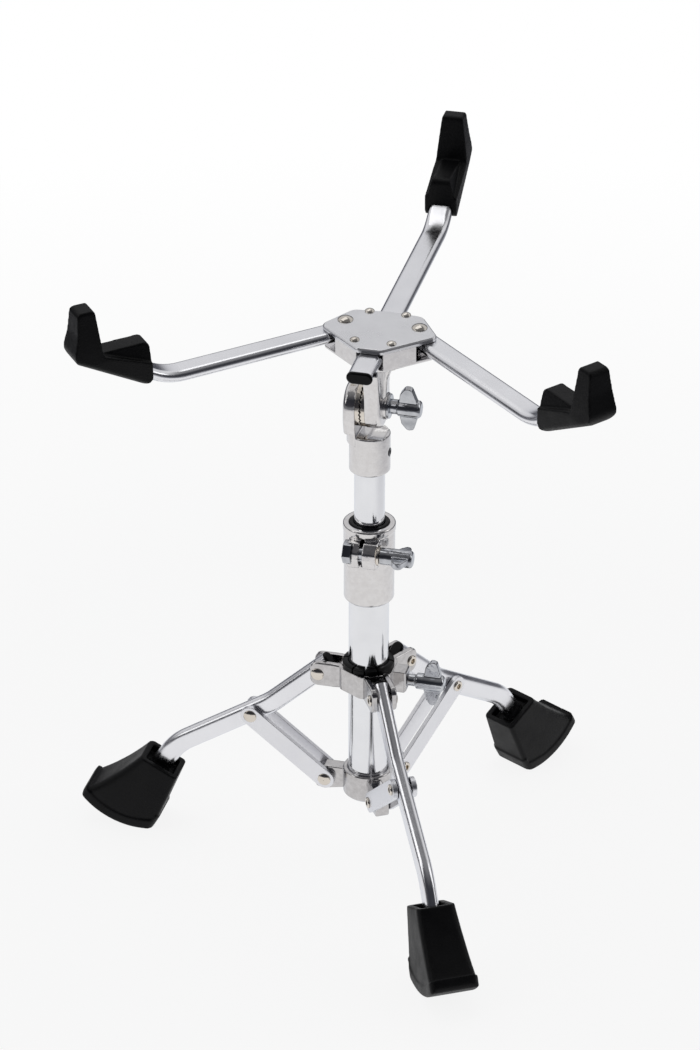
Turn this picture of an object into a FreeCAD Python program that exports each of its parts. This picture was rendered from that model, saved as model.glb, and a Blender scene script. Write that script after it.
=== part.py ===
import FreeCAD
import Part
import math
import os

V = FreeCAD.Vector
ORIGIN = V(0, 0, 0)
UP = V(0, 0, 1)
os.makedirs("parts", exist_ok=True)

# Clearances (mm)
PRESS = 0.02            # radial play of a piece that stays put in its hole
RUN = 0.06              # radial play of a turning or sliding fit
GAP = 0.30              # air between neighbouring pieces that move
RUBBER = 0.05           # play between rubber and the tube it is pushed on

# Column, heights above the floor
BASE_TUBE_D = 25.4
BASE_TUBE_WALL = 1.3
BASE_TUBE_TOP = 222.0
TUBE_PLAY = 1.875       # air between the two tubes, which the bush of the clamp keeps apart
UPPER_TUBE_D = BASE_TUBE_D - 2 * (BASE_TUBE_WALL + TUBE_PLAY)
UPPER_TUBE_WALL = 1.3
UPPER_TUBE_LOW = 88.0
UPPER_TUBE_TOP = 298.0
BASE_R = BASE_TUBE_D / 2.0
UPPER_R = UPPER_TUBE_D / 2.0

# Leg linkage in the plane of one leg: distance outside the base tube and height of the three pivots
LEG_AZIMUTHS = (("front", -73.6), ("right", 46.4), ("left", 166.4))
PIVOT_T = (BASE_R + 18.7, 131.4)
PIVOT_SU = (BASE_R + 63.6, 93.1)
PIVOT_SL = (BASE_R + 14.5, 53.0)
FOLD_ANGLE = 38.0       # a leg turns this far when it is folded
FOLD_RISE = 42.9        # the leg collar rises this far in doing so

# Leg: flat-oval tube with two bends
LEG_TALL = 14.0
LEG_WIDE = 8.8
LEG_WALL = 1.3
LEG_END_PAST_PIVOT = 8.7
LEG_SLOPES = (-42.3, -32.2, -56.0)
LEG_BENDS = ((BASE_R + 51.3, 101.4), (BASE_R + 114.6, 61.4))
LEG_BEND_R = (55.0, 42.0)
LEG_IN_FOOT = 32.0
PLUG_LIP = 1.8
PLUG_DEPTH = 9.0

# Struts and rivets
STRUT_WIDE = 12.8
STRUT_THICK = 3.0
RIVET_SHANK_D = 4.8
RIVET_HEAD_D = 8.5
RIVET_DOME = 1.5
RIVET_RIM = 0.35
RIVET_TAIL_D = 7.2
RIVET_TAIL = 1.1
RIVET_EYE_D = 3.4

# Rubber foot
FOOT_SOLE_R = 51.0
FOOT_SOLE_AT = BASE_R + 137.3   # radius of the lowest line of the rocker sole
FOOT_TOP_IN = (-24.4, 40.2)     # inner and outer end of the top, from the lowest line
FOOT_TOP_OUT = (-0.4, 53.2)
FOOT_HOLLOW = 1.6       # the front bows inwards by this much
FOOT_FLAT = 0.25        # depth by which the sole is flattened where it stands
FOOT_RIM = 7.0
FOOT_RIM_PROUD = 0.7
FOOT_TOP_WIDE = 23.6
FOOT_SOLE_WIDE = 29.6
FOOT_AXIS = -60.0
FOOT_ROUND = 4.0        # rounding of the two long front edges
FOOT_HEEL_ROUND = 2.6
FOOT_CORNER = 4.4       # rounding of the rim's corners
FOOT_LIP = 3.4          # wall left round the mouth
FOOT_MOUTH = 6.0        # depth of the mouth below the top

# Leg collar
COLLAR_LOW = PIVOT_T[1] - 7.4   # the pivots lie near the middle of its height
COLLAR_TOP = PIVOT_T[1] + 8.0
COLLAR_BUSH_WALL = 1.5
COLLAR_BUSH_R = BASE_R + COLLAR_BUSH_WALL
COLLAR_R = COLLAR_BUSH_R + 2.8
BUSH_FLANGE_R = COLLAR_BUSH_R + 2.2
BUSH_FLANGE = 3.9
CHEEK_THICK = 3.4
CHEEK_END = PIVOT_T[0] + 5.0
COLLAR_BOLT_AZ = -13.6
BOSS_END = COLLAR_R + 8.6
BOSS_WIDE = 11.0

# Lower collar
FOOT_COLLAR_LOW = 44.0
FOOT_COLLAR_TOP = 63.5
FOOT_COLLAR_R = BASE_R + 3.3
LUG_END = PIVOT_SL[0] + 6.6

# Height clamp
CLAMP_LOW = 188.0
CLAMP_BAND_LOW = 216.0
CLAMP_SLIT_TOP = 237.2
CLAMP_TOP = 242.0
CLAMP_CUP_R = BASE_R + 3.1
CLAMP_BAND_R = CLAMP_CUP_R + 0.3
CLAMP_RING_R = CLAMP_CUP_R + 0.7
CLAMP_BUSH_R = UPPER_R + 2.975
CLAMP_SLIT = 2.3
CLAMP_BOLT_OUT = CLAMP_BAND_R + 2.9
CLAMP_BOLT_Z = 229.0
EAR_LEFT = 9.4
EAR_RIGHT = 10.6

# Tilter: its axis runs across the basket
BASKET_AZ = 75.74       # compass of the sliding arm
TILT = 4.19             # the basket leans this far forward
TILT_Z = 322.6
TILT_EAR_R = 14.4
DISC_R = TILT_EAR_R - 0.3
DISC_BACK = 2.2
DISC_TEETH = 30
TOOTH = 0.85
DISC_LEFT = -6.2
DISC_SPLIT = 0.12
LOWER_EAR = 8.0
UPPER_EAR = 9.3
SOCKET_R = UPPER_R + 3.225
SOCKET_LOW = 278.0
SOCKET_TOP = 304.0
BOLT_D = 8.0

# Basket, heights above the tilter axis, before the lean
BASKET_X = 5.84
BASKET_Y = 5.16
PLATE_TOP = 51.0
PLATE_THICK = 3.0
PAN_LOW = 35.0
PAN_FLOOR = 2.6
PAN_WALL = 2.4
PAN_INSET = 0.9
ARM_WIDE = 15.6
ARM_TALL = 7.2
ARM_WALL = 1.2
ARM_ANGLE = 41.0        # each side arm points this far forward of straight out
ARM_PIVOT = (22.98, 4.73)
ARM_BEND_AT = 118.3
ARM_BEND = 30.0
ARM_BEND_R = 36.0
ARM_IN_GRIP = 38.0
SLIDE_BEND_AT = 143.3
SLIDE_TAIL = -50.0
PLATE_RIVETS = (11.35, 18.11)
POST_R = 3.2


# Small helpers

def sub2(a, b):
    return (a[0] - b[0], a[1] - b[1])


def unit2(a):
    length = math.hypot(a[0], a[1])
    return (a[0] / length, a[1] / length)


def along(p, direction, distance):
    return (p[0] + direction[0] * distance, p[1] + direction[1] * distance)


def compass(deg):
    return (math.cos(math.radians(deg)), math.sin(math.radians(deg)))


def corner(before, point, after, radius):
    """Start, middle and end of the arc that rounds one corner."""
    u = unit2(sub2(before, point))
    w = unit2(sub2(after, point))
    half = 0.5 * math.acos(max(-1.0, min(1.0, u[0] * w[0] + u[1] * w[1])))
    reach = radius / math.tan(half)
    bisector = unit2((u[0] + w[0], u[1] + w[1]))
    centre = along(point, bisector, radius / math.sin(half))
    return along(point, u, reach), along(centre, bisector, -radius), along(point, w, reach)


def rounded_wire(points, radii, to3d, closed=True):
    """Wire through the points with each corner rounded by its radius."""
    count = len(points)
    knots = []
    for i, point in enumerate(points):
        inner = closed or 0 < i < count - 1
        if radii[i] > 0 and inner:
            knots.append(corner(points[i - 1], point, points[(i + 1) % count], radii[i]))
        else:
            knots.append((point, None, point))
    edges = []
    for i, (start, middle, end) in enumerate(knots):
        if middle is not None:
            edges.append(Part.Arc(to3d(*start), to3d(*middle), to3d(*end)).toShape())
        if i == count - 1 and not closed:
            break
        following = knots[(i + 1) % count][0]
        if math.hypot(following[0] - end[0], following[1] - end[1]) > 1e-6:
            edges.append(Part.makeLine(to3d(*end), to3d(*following)))
    return Part.Wire(edges)


def leg_plane(y):
    return lambda x, z: V(x, y, z)


def level(z):
    return lambda x, y: V(x, y, z)


def side_slab(points, radii, y0, y1):
    """Profile given as (x, z), extruded sideways from y0 to y1."""
    face = Part.Face(rounded_wire(points, radii, leg_plane(y0)))
    return face.extrude(V(0, y1 - y0, 0))


def flat_slab(points, radii, z0, z1):
    """Profile given as (x, y), extruded upwards from z0 to z1."""
    face = Part.Face(rounded_wire(points, radii, level(z0)))
    return face.extrude(V(0, 0, z1 - z0))


def spun(points, cuts=None):
    """Profile given as (radius, z), turned about the z axis; a cut takes that much off a corner."""
    outline = []
    for i, point in enumerate(points):
        size = cuts[i] if cuts else 0
        if size > 0:
            outline.append(along(point, unit2(sub2(points[i - 1], point)), size))
            outline.append(along(point, unit2(sub2(points[(i + 1) % len(points)], point)), size))
        else:
            outline.append(point)
    face = Part.Face(rounded_wire(outline, [0] * len(outline), leg_plane(0)))
    return face.revolve(ORIGIN, UP, 360)


def pin(diameter, start, end):
    axis = end - start
    return Part.makeCylinder(diameter / 2.0, axis.Length, start, axis)


def box(x0, x1, y0, y1, z0, z1):
    return Part.makeBox(x1 - x0, y1 - y0, z1 - z0, V(x0, y0, z0))


def turned(shape, deg, axis=UP, about=ORIGIN):
    copy = shape.copy()
    copy.rotate(about, axis, deg)
    return copy


def moved(shape, x, y, z):
    copy = shape.copy()
    copy.translate(V(x, y, z))
    return copy


def mirrored(shape):
    return shape.mirror(ORIGIN, V(0, 1, 0))


def softened(shape, radius, pick):
    """Rounds the picked edges."""
    return shape.makeFillet(radius, [e for e in shape.Edges if pick(e)])


def bevelled(shape, size, pick):
    """Chamfers the picked edges."""
    return shape.makeChamfer(size, [e for e in shape.Edges if pick(e)])


def save(name, shape):
    solids = shape.Solids
    whole = solids[0] if len(solids) == 1 else Part.makeCompound(solids)
    print(name, "solids", len(solids), "valid", whole.isValid(), "volume", round(whole.Volume, 1))
    whole.exportStep("parts/" + name + ".step")


def oval_wire(tall, wide, spot, direction):
    """Flat oval across a direction in the xz plane; tall in that plane, wide in y."""
    lift = V(-direction.z, 0, direction.x)
    across = V(0, 1, 0)
    if tall >= wide:
        straight, cross, half, r = lift, across, (tall - wide) / 2.0, wide / 2.0
    else:
        straight, cross, half, r = across, lift, (wide - tall) / 2.0, tall / 2.0
    a = spot + straight * half
    b = spot - straight * half
    edges = [
        Part.makeLine(b + cross * r, a + cross * r),
        Part.Arc(a + cross * r, a + straight * r, a - cross * r).toShape(),
        Part.makeLine(a - cross * r, b - cross * r),
        Part.Arc(b - cross * r, b - straight * r, b + cross * r).toShape(),
    ]
    return Part.Wire(edges)


def oval_bar(points, radii, tall, wide):
    """Solid bar of flat-oval section along a bent line in the xz plane: straight runs and turned bends."""
    runs = []
    here = points[0]
    for i in range(1, len(points)):
        d = unit2(sub2(points[i], points[i - 1]))
        bent = i < len(points) - 1 and radii[i] > 0
        there = corner(points[i - 1], points[i], points[i + 1], radii[i])[0] if bent else points[i]
        section = Part.Face(oval_wire(tall, wide, V(here[0], 0, here[1]), V(d[0], 0, d[1])))
        run = V(there[0] - here[0], 0, there[1] - here[1])
        runs.append(section.extrude(run))
        here = there
        if bent:
            after = unit2(sub2(points[i + 1], points[i]))
            turn = math.atan2(d[0] * after[1] - d[1] * after[0], d[0] * after[0] + d[1] * after[1])
            side = 1.0 if turn > 0 else -1.0
            centre = V(there[0] - d[1] * radii[i] * side, 0, there[1] + d[0] * radii[i] * side)
            section.translate(run)
            runs.append(section.revolve(centre, V(0, -1, 0), math.degrees(turn)))
            here = corner(points[i - 1], points[i], points[i + 1], radii[i])[2]
    return runs[0] if len(runs) == 1 else runs[0].fuse(runs[1:]).removeSplitter()


def oval_tube(points, radii, tall, wide, wall):
    outer = oval_bar(points, radii, tall, wide)
    return outer.cut(oval_bar(points, radii, tall - 2 * wall, wide - 2 * wall))


def dome_arc(radius, low, top):
    """Spherical cap in profile, from its rim to its crown on the z axis."""
    rise = top - low
    ball = (radius * radius + rise * rise) / (2.0 * rise)
    half = 0.5 * math.asin(radius / ball)
    middle = V(ball * math.sin(half), 0, top - ball + ball * math.cos(half))
    return Part.Arc(V(radius, 0, low), middle, V(0, 0, top)).toShape()


def rivet(half_head, half_tail, head_d=RIVET_HEAD_D, shank_d=RIVET_SHANK_D):
    """Rivet along y: domed head on the +y side, rolled eyelet on the -y side."""
    rh = head_d / 2.0
    rs = shank_d / 2.0
    rt = RIVET_TAIL_D / 2.0
    eye = RIVET_EYE_D / 2.0
    low = -half_tail - RIVET_TAIL
    outline = [(0, low + 3.0), (eye, low + 3.0), (eye, low), (rt - 0.5, low), (rt, low + 0.5),
               (rt, -half_tail),
               (rs, -half_tail), (rs, half_head), (rh, half_head), (rh, half_head + RIVET_RIM)]
    edges = []
    for a, b in zip(outline, outline[1:]):
        edges.append(Part.makeLine(V(a[0], 0, a[1]), V(b[0], 0, b[1])))
    edges.append(dome_arc(rh, half_head + RIVET_RIM, half_head + RIVET_DOME))
    edges.append(Part.makeLine(V(0, 0, half_head + RIVET_DOME), V(0, 0, low + 3.0)))
    return turned(Part.Face(Part.Wire(edges)).revolve(ORIGIN, UP, 360), -90, V(1, 0, 0))


def wing_bolt(shaft_d, shaft, stem_d, stem, hub_d, hub, petal, span):
    """Wing bolt along x; the bearing face of its stem is at x = 0."""
    wings_from = stem + hub - petal - 1.8
    wings_to = wings_from + petal
    turning = [(0, -shaft), (shaft_d / 2.0 - 0.7, -shaft), (shaft_d / 2.0, -shaft + 0.7), (shaft_d / 2.0, 0),
               (stem_d / 2.0, 0), (stem_d / 2.0, stem), (hub_d / 2.0, stem + 0.8),
               (hub_d / 2.0, stem + hub - 1.2), (hub_d / 2.0 - 1.2, stem + hub), (0, stem + hub)]
    core = turned(spun(turning), 90, V(0, 1, 0))
    a, b, top = wings_from, wings_to, span / 2.0
    upper = [(a, 4.6), (a + 1.0, top - 4.6), (a + 4.4, top), (a + 0.72 * petal, top - 0.4), (b, 4.6)]
    lower = [(x, -z) for x, z in reversed(upper)]
    radii = [0, 3.0, 2.4, 2.4, 0]
    wings = side_slab(upper + lower, radii + radii[::-1], -2.1, 2.1)
    return core.fuse(wings).removeSplitter()


def washer(outer, inner, thick):
    """Washer along x from x = 0."""
    ring = spun([(inner / 2.0, 0), (outer / 2.0, 0), (outer / 2.0, thick), (inner / 2.0, thick)])
    return turned(ring, 90, V(0, 1, 0))


def hex_nut(flats, hole, thick):
    points = [along((0, 0), compass(60 * i + 30), flats / math.sqrt(3.0)) for i in range(6)]
    nut = flat_slab(points, [0] * 6, 0, thick)
    nut = nut.cut(Part.makeCylinder(hole / 2.0, thick))
    return turned(nut, 90, V(0, 1, 0))


# Leg linkage

LEG_IN = unit2(sub2(PIVOT_T, LEG_BENDS[0]))
LEG_START = along(PIVOT_T, LEG_IN, LEG_END_PAST_PIVOT)
LEG_OUT = compass(LEG_SLOPES[2])
LEG_STOP = along(LEG_BENDS[1], LEG_OUT, LEG_IN_FOOT)
LEG_LINE = [LEG_START, LEG_BENDS[0], LEG_BENDS[1], LEG_STOP]
LEG_LINE_R = [0, LEG_BEND_R[0], LEG_BEND_R[1], 0]
CHEEK_IN = LEG_WIDE / 2.0 + GAP + 0.05
CHEEK_OUT = CHEEK_IN + CHEEK_THICK
BAR_IN = LEG_WIDE / 2.0 + GAP + 0.05
BAR_OUT = BAR_IN + STRUT_THICK
STRUT_LONG = math.hypot(PIVOT_SU[0] - PIVOT_SL[0], PIVOT_SU[1] - PIVOT_SL[1])
STRUT_SLOPE = math.degrees(math.atan2(PIVOT_SU[1] - PIVOT_SL[1], PIVOT_SU[0] - PIVOT_SL[0]))


def y_hole(spot, diameter, reach=20.0):
    return pin(diameter, V(spot[0], -reach, spot[1]), V(spot[0], reach, spot[1]))


def lower_pin_drift(share):
    """Where the free end of a strut stands from its pivot, at a share of the fold."""
    turn = math.radians(-FOLD_ANGLE * share)
    lever = sub2(PIVOT_SU, PIVOT_T)
    swung = (lever[0] * math.cos(turn) - lever[1] * math.sin(turn),
             lever[0] * math.sin(turn) + lever[1] * math.cos(turn))
    top = (PIVOT_T[0] + swung[0], PIVOT_T[1] + FOLD_RISE * share + swung[1])
    slope = math.radians(STRUT_SLOPE + STRUT_TURN * share)
    foot = (top[0] - STRUT_LONG * math.cos(slope), top[1] - STRUT_LONG * math.sin(slope))
    return sub2(foot, PIVOT_SL)


LEVER_SLOPE = math.atan2(PIVOT_SU[1] - PIVOT_T[1], PIVOT_SU[0] - PIVOT_T[0])
FOLDED = LEVER_SLOPE - math.radians(FOLD_ANGLE)
LEVER = math.hypot(PIVOT_SU[0] - PIVOT_T[0], PIVOT_SU[1] - PIVOT_T[1])
STRUT_TURN = math.degrees(math.acos((PIVOT_T[0] + LEVER * math.cos(FOLDED) - PIVOT_SL[0]) / STRUT_LONG))
STRUT_TURN = STRUT_TURN - STRUT_SLOPE
DRIFT = [lower_pin_drift(i / 20.0) for i in range(21)]
DRIFT_DOWN = min(d[1] for d in DRIFT)
DRIFT_UP = max(d[1] for d in DRIFT)
DRIFT_SIDE = max(abs(d[0]) for d in DRIFT)
print("strut turn", round(STRUT_TURN, 3))
print("drift", round(DRIFT_DOWN, 2), round(DRIFT_UP, 2), round(DRIFT_SIDE, 3))


def make_leg():
    leg = oval_tube(LEG_LINE, LEG_LINE_R, LEG_TALL, LEG_WIDE, LEG_WALL)
    leg = leg.cut(y_hole(PIVOT_T, RIVET_SHANK_D + 2 * RUN))
    return leg.cut(y_hole(PIVOT_SU, RIVET_SHANK_D + 2 * RUN))


def make_leg_plug():
    tall = LEG_TALL - 2 * LEG_WALL - 2 * RUBBER
    wide = LEG_WIDE - 2 * LEG_WALL - 2 * RUBBER
    inside = along(LEG_START, LEG_IN, -2.6)
    outside = along(LEG_START, LEG_IN, PLUG_LIP)
    stem = oval_bar([inside, along(LEG_START, LEG_IN, 0.02)], [0, 0], tall, wide)
    lip = oval_bar([along(LEG_START, LEG_IN, 0.02), outside], [0, 0], LEG_TALL - 0.2, LEG_WIDE - 0.2)
    far = V(outside[0], 0, outside[1])
    lip = bevelled(lip, 0.7, lambda e: e.CenterOfMass.distanceToPoint(far) < 7.2
                   and all(abs((v.Point - far).dot(V(LEG_IN[0], 0, LEG_IN[1]))) < 1e-3 for v in e.Vertexes))
    return stem.fuse(lip).removeSplitter()


def make_foot():
    """Hoof-shaped rubber foot: side profile and taper crossed, rim, rocker sole and socket."""
    lowest = (FOOT_SOLE_AT, -FOOT_FLAT)
    centre = (FOOT_SOLE_AT, FOOT_SOLE_R - FOOT_FLAT)

    def on_sole(deg, inset=0.0):
        return along(centre, compass(deg), FOOT_SOLE_R - inset)

    def flat(p):
        return V(p[0], 0, p[1])

    def line(p, q):
        return Part.makeLine(flat(p), flat(q))

    def arc(p, q, r):
        return Part.Arc(flat(p), flat(q), flat(r)).toShape()

    def bowed(p, q, sag):
        side = unit2((p[1] - q[1], q[0] - p[0]))
        return arc(p, along((0.5 * (p[0] + q[0]), 0.5 * (p[1] + q[1])), side, sag), q)

    # upper part of the hoof; its underside lies inside the rim
    top_in = (FOOT_SOLE_AT + FOOT_TOP_IN[0], FOOT_TOP_IN[1])
    top_out = (FOOT_SOLE_AT + FOOT_TOP_OUT[0], FOOT_TOP_OUT[1])
    hidden = 0.3 * FOOT_RIM
    toe, toe_in = on_sole(-36.0, 0.86 * FOOT_RIM), on_sole(-40.0, hidden)
    heel_in, heel_low = on_sole(-97.0, hidden), on_sole(-104.4, 0.98 * FOOT_RIM)
    body = [
        line(top_in, top_out), bowed(top_out, toe, -FOOT_HOLLOW), line(toe, toe_in),
        arc(toe_in, on_sole(-70.0, hidden), heel_in), line(heel_in, heel_low), line(heel_low, top_in),
    ]
    side = Part.Face(Part.Wire(body))
    side.translate(V(0, -FOOT_SOLE_WIDE, 0))
    block = side.extrude(V(0, 2 * FOOT_SOLE_WIDE, 0))
    # taper across the foot, seen along the axis of the hoof
    half_top, half_low = FOOT_TOP_WIDE / 2.0, FOOT_SOLE_WIDE / 2.0
    taper = [(-half_top, 8.0), (-half_low, -42.0), (-half_low, -75.0), (half_low, -75.0), (half_low, -42.0),
             (half_top, 8.0)]
    face = Part.Face(rounded_wire(taper, [0] * 6, lambda y, z: V(-FOOT_SOLE_R, y, z)))
    wedge = face.extrude(V(2 * FOOT_SOLE_R, 0, 0))
    wedge = turned(wedge, -(FOOT_AXIS + 90.0), V(0, 1, 0))
    wedge = moved(wedge, 0.5 * (top_in[0] + top_out[0]), 0, 0.5 * (top_in[1] + top_out[1]))
    hoof = block.common(wedge)
    hoof = softened(hoof, FOOT_ROUND, lambda e: abs(e.CenterOfMass.y) > half_top / 2.0
                    and e.CenterOfMass.x > top_out[0] and e.BoundBox.ZLength > 0.4 * top_out[1])
    hoof = softened(hoof, FOOT_HEEL_ROUND, lambda e: abs(e.CenterOfMass.y) > half_top / 2.0
                    and e.CenterOfMass.x < heel_low[0] and e.BoundBox.ZLength > 0.4 * top_in[1])
    # the proud rim follows the sole
    arc_out = [on_sole(-38.5), lowest, on_sole(-98.0)]
    arc_in = [on_sole(-100.5, FOOT_RIM), on_sole(-65.0, FOOT_RIM), on_sole(-33.0, FOOT_RIM)]
    heel_tip, heel_top = on_sole(-106.6, 1.09 * FOOT_RIM), on_sole(-105.1, 1.46 * FOOT_RIM)
    toe_tip, toe_mid = on_sole(-34.1, 0.83 * FOOT_RIM), on_sole(-35.7, 0.3 * FOOT_RIM)
    rim = [
        arc(*arc_out), arc(arc_out[2], on_sole(-101.9, 0.37 * FOOT_RIM), heel_tip), line(heel_tip, heel_top),
        line(heel_top, arc_in[0]), arc(*arc_in), line(arc_in[2], toe_tip),
        arc(toe_tip, toe_mid, arc_out[0]),
    ]
    band = Part.Face(Part.Wire(rim))
    half_rim = half_low + FOOT_RIM_PROUD
    band.translate(V(0, -half_rim, 0))
    band = band.extrude(V(0, 2 * half_rim, 0))
    band = bevelled(band, 1.1, lambda e: abs(abs(e.CenterOfMass.y) - half_rim) < 1e-3
                    and e.BoundBox.ZMin < 3.0)
    # seen along the axis of the hoof the rim has round corners
    axis = compass(FOOT_AXIS)
    across = (-axis[1], axis[0])

    def reach_of(p):
        rel = sub2(p, centre)
        return rel[0] * across[0] + rel[1] * across[1]

    back, front = reach_of(heel_tip), reach_of(toe_mid)
    start = along(centre, axis, -FOOT_SOLE_R)
    corners = [(back, -half_rim), (front, -half_rim), (front, half_rim), (back, half_rim)]
    face = Part.Face(rounded_wire(corners, [FOOT_CORNER] * 4, lambda u, y: V(
        start[0] + across[0] * u, y, start[1] + across[1] * u)))
    plan = face.extrude(V(axis[0] * 3 * FOOT_SOLE_R, 0, axis[1] * 3 * FOOT_SOLE_R))
    foot = hoof.fuse(band.common(plan))
    reach = 2.0 * FOOT_SOLE_R
    foot = foot.cut(box(FOOT_SOLE_AT - reach, FOOT_SOLE_AT + reach, -reach, reach, -reach, 0))
    # socket: the leg is pushed in to its end, below a roomier square mouth
    room = 2.0 * RUBBER
    bore = oval_bar(LEG_LINE, LEG_LINE_R, LEG_TALL + room, LEG_WIDE + room)
    slope = unit2(sub2(top_out, top_in))
    down = (slope[1], -slope[0])
    lip_in, lip_out = along(top_in, slope, FOOT_LIP), along(top_out, slope, -FOOT_LIP)
    corners = [along(lip_in, down, -5.0), along(lip_out, down, -5.0), along(lip_out, down, FOOT_MOUTH),
               along(lip_in, down, FOOT_MOUTH)]
    mouth = side_slab(corners, [0, 0, 1.5, 1.5], FOOT_LIP - half_top, half_top - FOOT_LIP)
    return foot.cut(bore).cut(mouth).removeSplitter()


def make_strut_pair():
    d = unit2(sub2(PIVOT_SU, PIVOT_SL))
    n = (-d[1], d[0])
    r = STRUT_WIDE / 2.0
    a = along(along(PIVOT_SL, d, -r), n, -r)
    b = along(along(PIVOT_SU, d, r), n, -r)
    c = along(along(PIVOT_SU, d, r), n, r)
    e = along(along(PIVOT_SL, d, -r), n, r)
    bars = []
    for y0 in (BAR_IN, -BAR_OUT):
        bar = side_slab([a, b, c, e], [r - 0.02] * 4, y0, y0 + STRUT_THICK)
        bar = bar.cut(y_hole(PIVOT_SU, RIVET_SHANK_D + 2 * PRESS))
        bars.append(bar.cut(y_hole(PIVOT_SL, RIVET_SHANK_D + 2 * PRESS)))
    return bars


def rivet_at(spot, half):
    return moved(rivet(half, half), spot[0], 0, spot[1])


def make_leg_collar():
    """Cast collar: hexagon ring, three open clevises, and a boss for the wing bolt."""
    apothem = COLLAR_R
    flats = [along((0, 0), compass(LEG_AZIMUTHS[0][1] + 30 + 60 * i), apothem / math.cos(math.radians(30)))
             for i in range(6)]
    ring = flat_slab(flats, [5.0] * 6, COLLAR_LOW, COLLAR_TOP)
    pieces = []
    low, top = COLLAR_LOW - 0.8, COLLAR_TOP + 0.6
    inside, out = COLLAR_BUSH_R - 4.2, COLLAR_R + 5.0
    outline = [(inside, low + 0.8), (out, low), (CHEEK_END, low), (CHEEK_END, top), (out, top),
               (inside, top - 0.6)]
    for name, azimuth in LEG_AZIMUTHS:
        for y0 in (CHEEK_IN, -CHEEK_OUT):
            cheek = side_slab(outline, [0, 8, 5.2, 5.2, 8, 0], y0, y0 + CHEEK_THICK)
            cheek = cheek.cut(y_hole(PIVOT_T, RIVET_SHANK_D + 2 * PRESS))
            outer_y = y0 + CHEEK_THICK if y0 > 0 else y0
            cheek = bevelled(cheek, 0.7, lambda e: abs(e.CenterOfMass.y - outer_y) < 1e-4
                             and e.BoundBox.XMax > COLLAR_R + 3.0 and e.Length > 3.0
                             and e.BoundBox.YLength < 1e-4
                             and not (e.Closed and e.Length < 20))
            pieces.append(turned(cheek, azimuth))
    half = BOSS_WIDE / 2.0
    boss = box(inside, BOSS_END, -half, half, COLLAR_LOW + 0.4, COLLAR_TOP - 0.4)
    boss = bevelled(boss, 1.0, lambda e: e.BoundBox.XMin > BOSS_END - 1e-3)
    pieces.append(turned(boss, COLLAR_BOLT_AZ))
    collar = ring.fuse(pieces).removeSplitter()
    tall = COLLAR_TOP - COLLAR_LOW
    collar = collar.cut(Part.makeCylinder(COLLAR_BUSH_R + PRESS, 3 * tall, V(0, 0, COLLAR_LOW - tall)))
    collar = collar.cut(Part.makeCylinder(BUSH_FLANGE_R + GAP, tall, V(0, 0, COLLAR_TOP)))
    d = compass(COLLAR_BOLT_AZ)
    bolt_hole = pin(6.0 + 2 * RUN, V(0, 0, PIVOT_T[1]), V(d[0] * 40, d[1] * 40, PIVOT_T[1]))
    return collar.cut(bolt_hole)


def make_collar_bush():
    inner = BASE_R + RUN
    outline = [(inner, COLLAR_LOW), (COLLAR_BUSH_R, COLLAR_LOW), (COLLAR_BUSH_R, COLLAR_TOP),
               (BUSH_FLANGE_R, COLLAR_TOP + 0.02), (BUSH_FLANGE_R, COLLAR_TOP + BUSH_FLANGE - 0.8),
               (BUSH_FLANGE_R - 1.6, COLLAR_TOP + BUSH_FLANGE), (inner + 0.5, COLLAR_TOP + BUSH_FLANGE),
               (inner, COLLAR_TOP + BUSH_FLANGE - 0.5)]
    bush = spun(outline)
    slit = box(inner - 5.0, BUSH_FLANGE_R + 5.0, -0.5, 0.5, COLLAR_LOW + 5.0, COLLAR_TOP + 10)
    for azimuth in (-128.6, -98.6, -68.6, -8.6, 51.4, 111.4, 171.4):
        bush = bush.cut(turned(slit, azimuth))
    return bush


def make_foot_collar():
    """Cast collar closing the base tube, with three lugs between the struts."""
    r = BASE_R + PRESS
    ring = spun([(r - 3.2, FOOT_COLLAR_LOW), (FOOT_COLLAR_R, FOOT_COLLAR_LOW),
                 (FOOT_COLLAR_R, FOOT_COLLAR_TOP), (r + 0.9, FOOT_COLLAR_TOP), (r, FOOT_COLLAR_TOP - 0.9),
                 (r, FOOT_COLLAR_LOW + 3.0), (r - 3.2, FOOT_COLLAR_LOW + 3.0)], [0, 2.0, 0.7, 0, 0, 0, 0])
    half = BAR_IN - GAP
    low, top = PIVOT_SL[1] - 8.6, PIVOT_SL[1] + 8.4
    lug = side_slab([(BASE_R + 0.7, low + 2.6), (PIVOT_SL[0] - 0.2, low), (LUG_END, low + 0.6),
                     (LUG_END, top - 3.0), (PIVOT_SL[0] + 0.8, top), (BASE_R + 0.7, top)],
                    [0, 3, 2.4, 3.0, 4.0, 0], -half, half)
    lug = bevelled(lug, 0.6, lambda e: e.BoundBox.YLength < 1e-4 and e.BoundBox.XMin > FOOT_COLLAR_R + 1.0)
    width = RIVET_SHANK_D / 2.0 + GAP / 2.0 + DRIFT_SIDE
    foot_z = PIVOT_SL[1] + DRIFT_DOWN - width
    head_z = PIVOT_SL[1] + DRIFT_UP + width
    x0, x1 = PIVOT_SL[0] - width, PIVOT_SL[0] + width
    slot = side_slab([(x0, foot_z), (x1, foot_z), (x1, head_z), (x0, head_z)], [width - 0.02] * 4, -20, 20)
    lug = lug.cut(slot)
    collar = ring.fuse([turned(lug, azimuth) for name, azimuth in LEG_AZIMUTHS])
    tall = FOOT_COLLAR_TOP - FOOT_COLLAR_LOW
    return collar.cut(Part.makeCylinder(r, 2 * tall, V(0, 0, FOOT_COLLAR_LOW + 3.0))).removeSplitter()


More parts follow.
